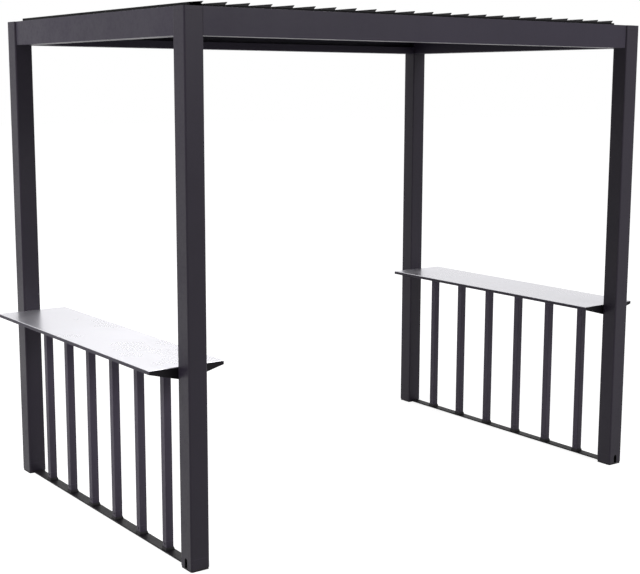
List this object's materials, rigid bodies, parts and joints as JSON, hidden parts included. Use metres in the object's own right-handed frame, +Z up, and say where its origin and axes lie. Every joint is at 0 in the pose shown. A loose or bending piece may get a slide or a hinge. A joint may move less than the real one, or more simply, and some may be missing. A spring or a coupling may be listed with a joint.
{
  "type": "louvred roof pergola with side bar counters",
  "caption": "Free-standing rectangular pergola with a tilting louvre roof, and a bar counter over upright balusters along each short side.",
  "frame": {"origin": "on the ground, midway between the posts", "axes": "+X along the long open side, +Y along the short side towards the back, +Z up"},
  "size_m": [3.3, 1.97, 2.627],
  "materials": {
    "frame_paint": "satin anthracite powder coat",
    "louvre_paint": "satin black-grey powder coat",
    "counter_plate": "pale satin metal sheet",
    "bracket_paint": "dark powder coat",
    "black_plastic": "matt black moulded plastic"
  },
  "bodies": {
    "frame": {"front_left_post": "frame_paint", "front_right_post": "frame_paint", "back_left_post": "frame_paint", "back_right_post": "frame_paint", "post_feet": "black_plastic", "post_caps": "frame_paint", "front_beam": "frame_paint", "back_beam": "frame_paint", "left_beam": "frame_paint", "right_beam": "frame_paint", "front_pivot_rail": "louvre_paint", "back_pivot_rail": "louvre_paint", "left_closing_louvre": "louvre_paint", "right_closing_strip": "louvre_paint", "left_counter_top": "counter_plate", "right_counter_top": "counter_plate", "left_counter_edges": "frame_paint", "right_counter_edges": "frame_paint", "left_counter_brackets": "bracket_paint", "right_counter_brackets": "bracket_paint", "left_top_rail": "frame_paint", "right_top_rail": "frame_paint", "left_balusters": "frame_paint", "right_balusters": "frame_paint", "left_bottom_bar": "frame_paint", "right_bottom_bar": "frame_paint"},
    "louvre_01": {"louvre_01": "louvre_paint"},
    "louvre_02": {"louvre_02": "louvre_paint"},
    "louvre_03": {"louvre_03": "louvre_paint"},
    "louvre_04": {"louvre_04": "louvre_paint"},
    "louvre_05": {"louvre_05": "louvre_paint"},
    "louvre_06": {"louvre_06": "louvre_paint"},
    "louvre_07": {"louvre_07": "louvre_paint"},
    "louvre_08": {"louvre_08": "louvre_paint"},
    "louvre_09": {"louvre_09": "louvre_paint"},
    "louvre_10": {"louvre_10": "louvre_paint"},
    "louvre_11": {"louvre_11": "louvre_paint"},
    "louvre_12": {"louvre_12": "louvre_paint"},
    "louvre_13": {"louvre_13": "louvre_paint"},
    "louvre_14": {"louvre_14": "louvre_paint"},
    "louvre_15": {"louvre_15": "louvre_paint"},
    "louvre_16": {"louvre_16": "louvre_paint"},
    "louvre_17": {"louvre_17": "louvre_paint"},
    "louvre_18": {"louvre_18": "louvre_paint"},
    "louvre_19": {"louvre_19": "louvre_paint"},
    "louvre_20": {"louvre_20": "louvre_paint"},
    "louvre_21": {"louvre_21": "louvre_paint"},
    "louvre_22": {"louvre_22": "louvre_paint"}
  },
  "joints": [
    {"name": "tilt_01", "type": "hinge", "parent": "frame", "child": "louvre_01", "pos_m": [-1.30305, 0, 2.595], "axis": [0, -1, 0], "range_deg": [0, 85]},
    {"name": "tilt_02", "type": "hinge", "parent": "frame", "child": "louvre_02", "pos_m": [-1.17978, 0, 2.595], "axis": [0, -1, 0], "range_deg": [0, 85]},
    {"name": "tilt_03", "type": "hinge", "parent": "frame", "child": "louvre_03", "pos_m": [-1.05651, 0, 2.595], "axis": [0, -1, 0], "range_deg": [0, 85]},
    {"name": "tilt_04", "type": "hinge", "parent": "frame", "child": "louvre_04", "pos_m": [-0.93324, 0, 2.595], "axis": [0, -1, 0], "range_deg": [0, 85]},
    {"name": "tilt_05", "type": "hinge", "parent": "frame", "child": "louvre_05", "pos_m": [-0.80996, 0, 2.595], "axis": [0, -1, 0], "range_deg": [0, 85]},
    {"name": "tilt_06", "type": "hinge", "parent": "frame", "child": "louvre_06", "pos_m": [-0.68669, 0, 2.595], "axis": [0, -1, 0], "range_deg": [0, 85]},
    {"name": "tilt_07", "type": "hinge", "parent": "frame", "child": "louvre_07", "pos_m": [-0.56342, 0, 2.595], "axis": [0, -1, 0], "range_deg": [0, 85]},
    {"name": "tilt_08", "type": "hinge", "parent": "frame", "child": "louvre_08", "pos_m": [-0.44014, 0, 2.595], "axis": [0, -1, 0], "range_deg": [0, 85]},
    {"name": "tilt_09", "type": "hinge", "parent": "frame", "child": "louvre_09", "pos_m": [-0.31687, 0, 2.595], "axis": [0, -1, 0], "range_deg": [0, 85]},
    {"name": "tilt_10", "type": "hinge", "parent": "frame", "child": "louvre_10", "pos_m": [-0.1936, 0, 2.595], "axis": [0, -1, 0], "range_deg": [0, 85]},
    {"name": "tilt_11", "type": "hinge", "parent": "frame", "child": "louvre_11", "pos_m": [-0.07033, 0, 2.595], "axis": [0, -1, 0], "range_deg": [0, 85]},
    {"name": "tilt_12", "type": "hinge", "parent": "frame", "child": "louvre_12", "pos_m": [0.05295, 0, 2.595], "axis": [0, -1, 0], "range_deg": [0, 85]},
    {"name": "tilt_13", "type": "hinge", "parent": "frame", "child": "louvre_13", "pos_m": [0.17622, 0, 2.595], "axis": [0, -1, 0], "range_deg": [0, 85]},
    {"name": "tilt_14", "type": "hinge", "parent": "frame", "child": "louvre_14", "pos_m": [0.29949, 0, 2.595], "axis": [0, -1, 0], "range_deg": [0, 85]},
    {"name": "tilt_15", "type": "hinge", "parent": "frame", "child": "louvre_15", "pos_m": [0.42277, 0, 2.595], "axis": [0, -1, 0], "range_deg": [0, 85]},
    {"name": "tilt_16", "type": "hinge", "parent": "frame", "child": "louvre_16", "pos_m": [0.54604, 0, 2.595], "axis": [0, -1, 0], "range_deg": [0, 85]},
    {"name": "tilt_17", "type": "hinge", "parent": "frame", "child": "louvre_17", "pos_m": [0.66931, 0, 2.595], "axis": [0, -1, 0], "range_deg": [0, 85]},
    {"name": "tilt_18", "type": "hinge", "parent": "frame", "child": "louvre_18", "pos_m": [0.79258, 0, 2.595], "axis": [0, -1, 0], "range_deg": [0, 85]},
    {"name": "tilt_19", "type": "hinge", "parent": "frame", "child": "louvre_19", "pos_m": [0.91586, 0, 2.595], "axis": [0, -1, 0], "range_deg": [0, 85]},
    {"name": "tilt_20", "type": "hinge", "parent": "frame", "child": "louvre_20", "pos_m": [1.03913, 0, 2.595], "axis": [0, -1, 0], "range_deg": [0, 85]},
    {"name": "tilt_21", "type": "hinge", "parent": "frame", "child": "louvre_21", "pos_m": [1.1624, 0, 2.595], "axis": [0, -1, 0], "range_deg": [0, 85]},
    {"name": "tilt_22", "type": "hinge", "parent": "frame", "child": "louvre_22", "pos_m": [1.28567, 0, 2.595], "axis": [0, -1, 0], "range_deg": [0, 85]}
  ],
  "couplings": [
    {"joint": "tilt_02", "follows": "tilt_01", "ratio": 1},
    {"joint": "tilt_03", "follows": "tilt_01", "ratio": 1},
    {"joint": "tilt_04", "follows": "tilt_01", "ratio": 1},
    {"joint": "tilt_05", "follows": "tilt_01", "ratio": 1},
    {"joint": "tilt_06", "follows": "tilt_01", "ratio": 1},
    {"joint": "tilt_07", "follows": "tilt_01", "ratio": 1},
    {"joint": "tilt_08", "follows": "tilt_01", "ratio": 1},
    {"joint": "tilt_09", "follows": "tilt_01", "ratio": 1},
    {"joint": "tilt_10", "follows": "tilt_01", "ratio": 1},
    {"joint": "tilt_11", "follows": "tilt_01", "ratio": 1},
    {"joint": "tilt_12", "follows": "tilt_01", "ratio": 1},
    {"joint": "tilt_13", "follows": "tilt_01", "ratio": 1},
    {"joint": "tilt_14", "follows": "tilt_01", "ratio": 1},
    {"joint": "tilt_15", "follows": "tilt_01", "ratio": 1},
    {"joint": "tilt_16", "follows": "tilt_01", "ratio": 1},
    {"joint": "tilt_17", "follows": "tilt_01", "ratio": 1},
    {"joint": "tilt_18", "follows": "tilt_01", "ratio": 1},
    {"joint": "tilt_19", "follows": "tilt_01", "ratio": 1},
    {"joint": "tilt_20", "follows": "tilt_01", "ratio": 1},
    {"joint": "tilt_21", "follows": "tilt_01", "ratio": 1},
    {"joint": "tilt_22", "follows": "tilt_01", "ratio": 1}
  ]
}
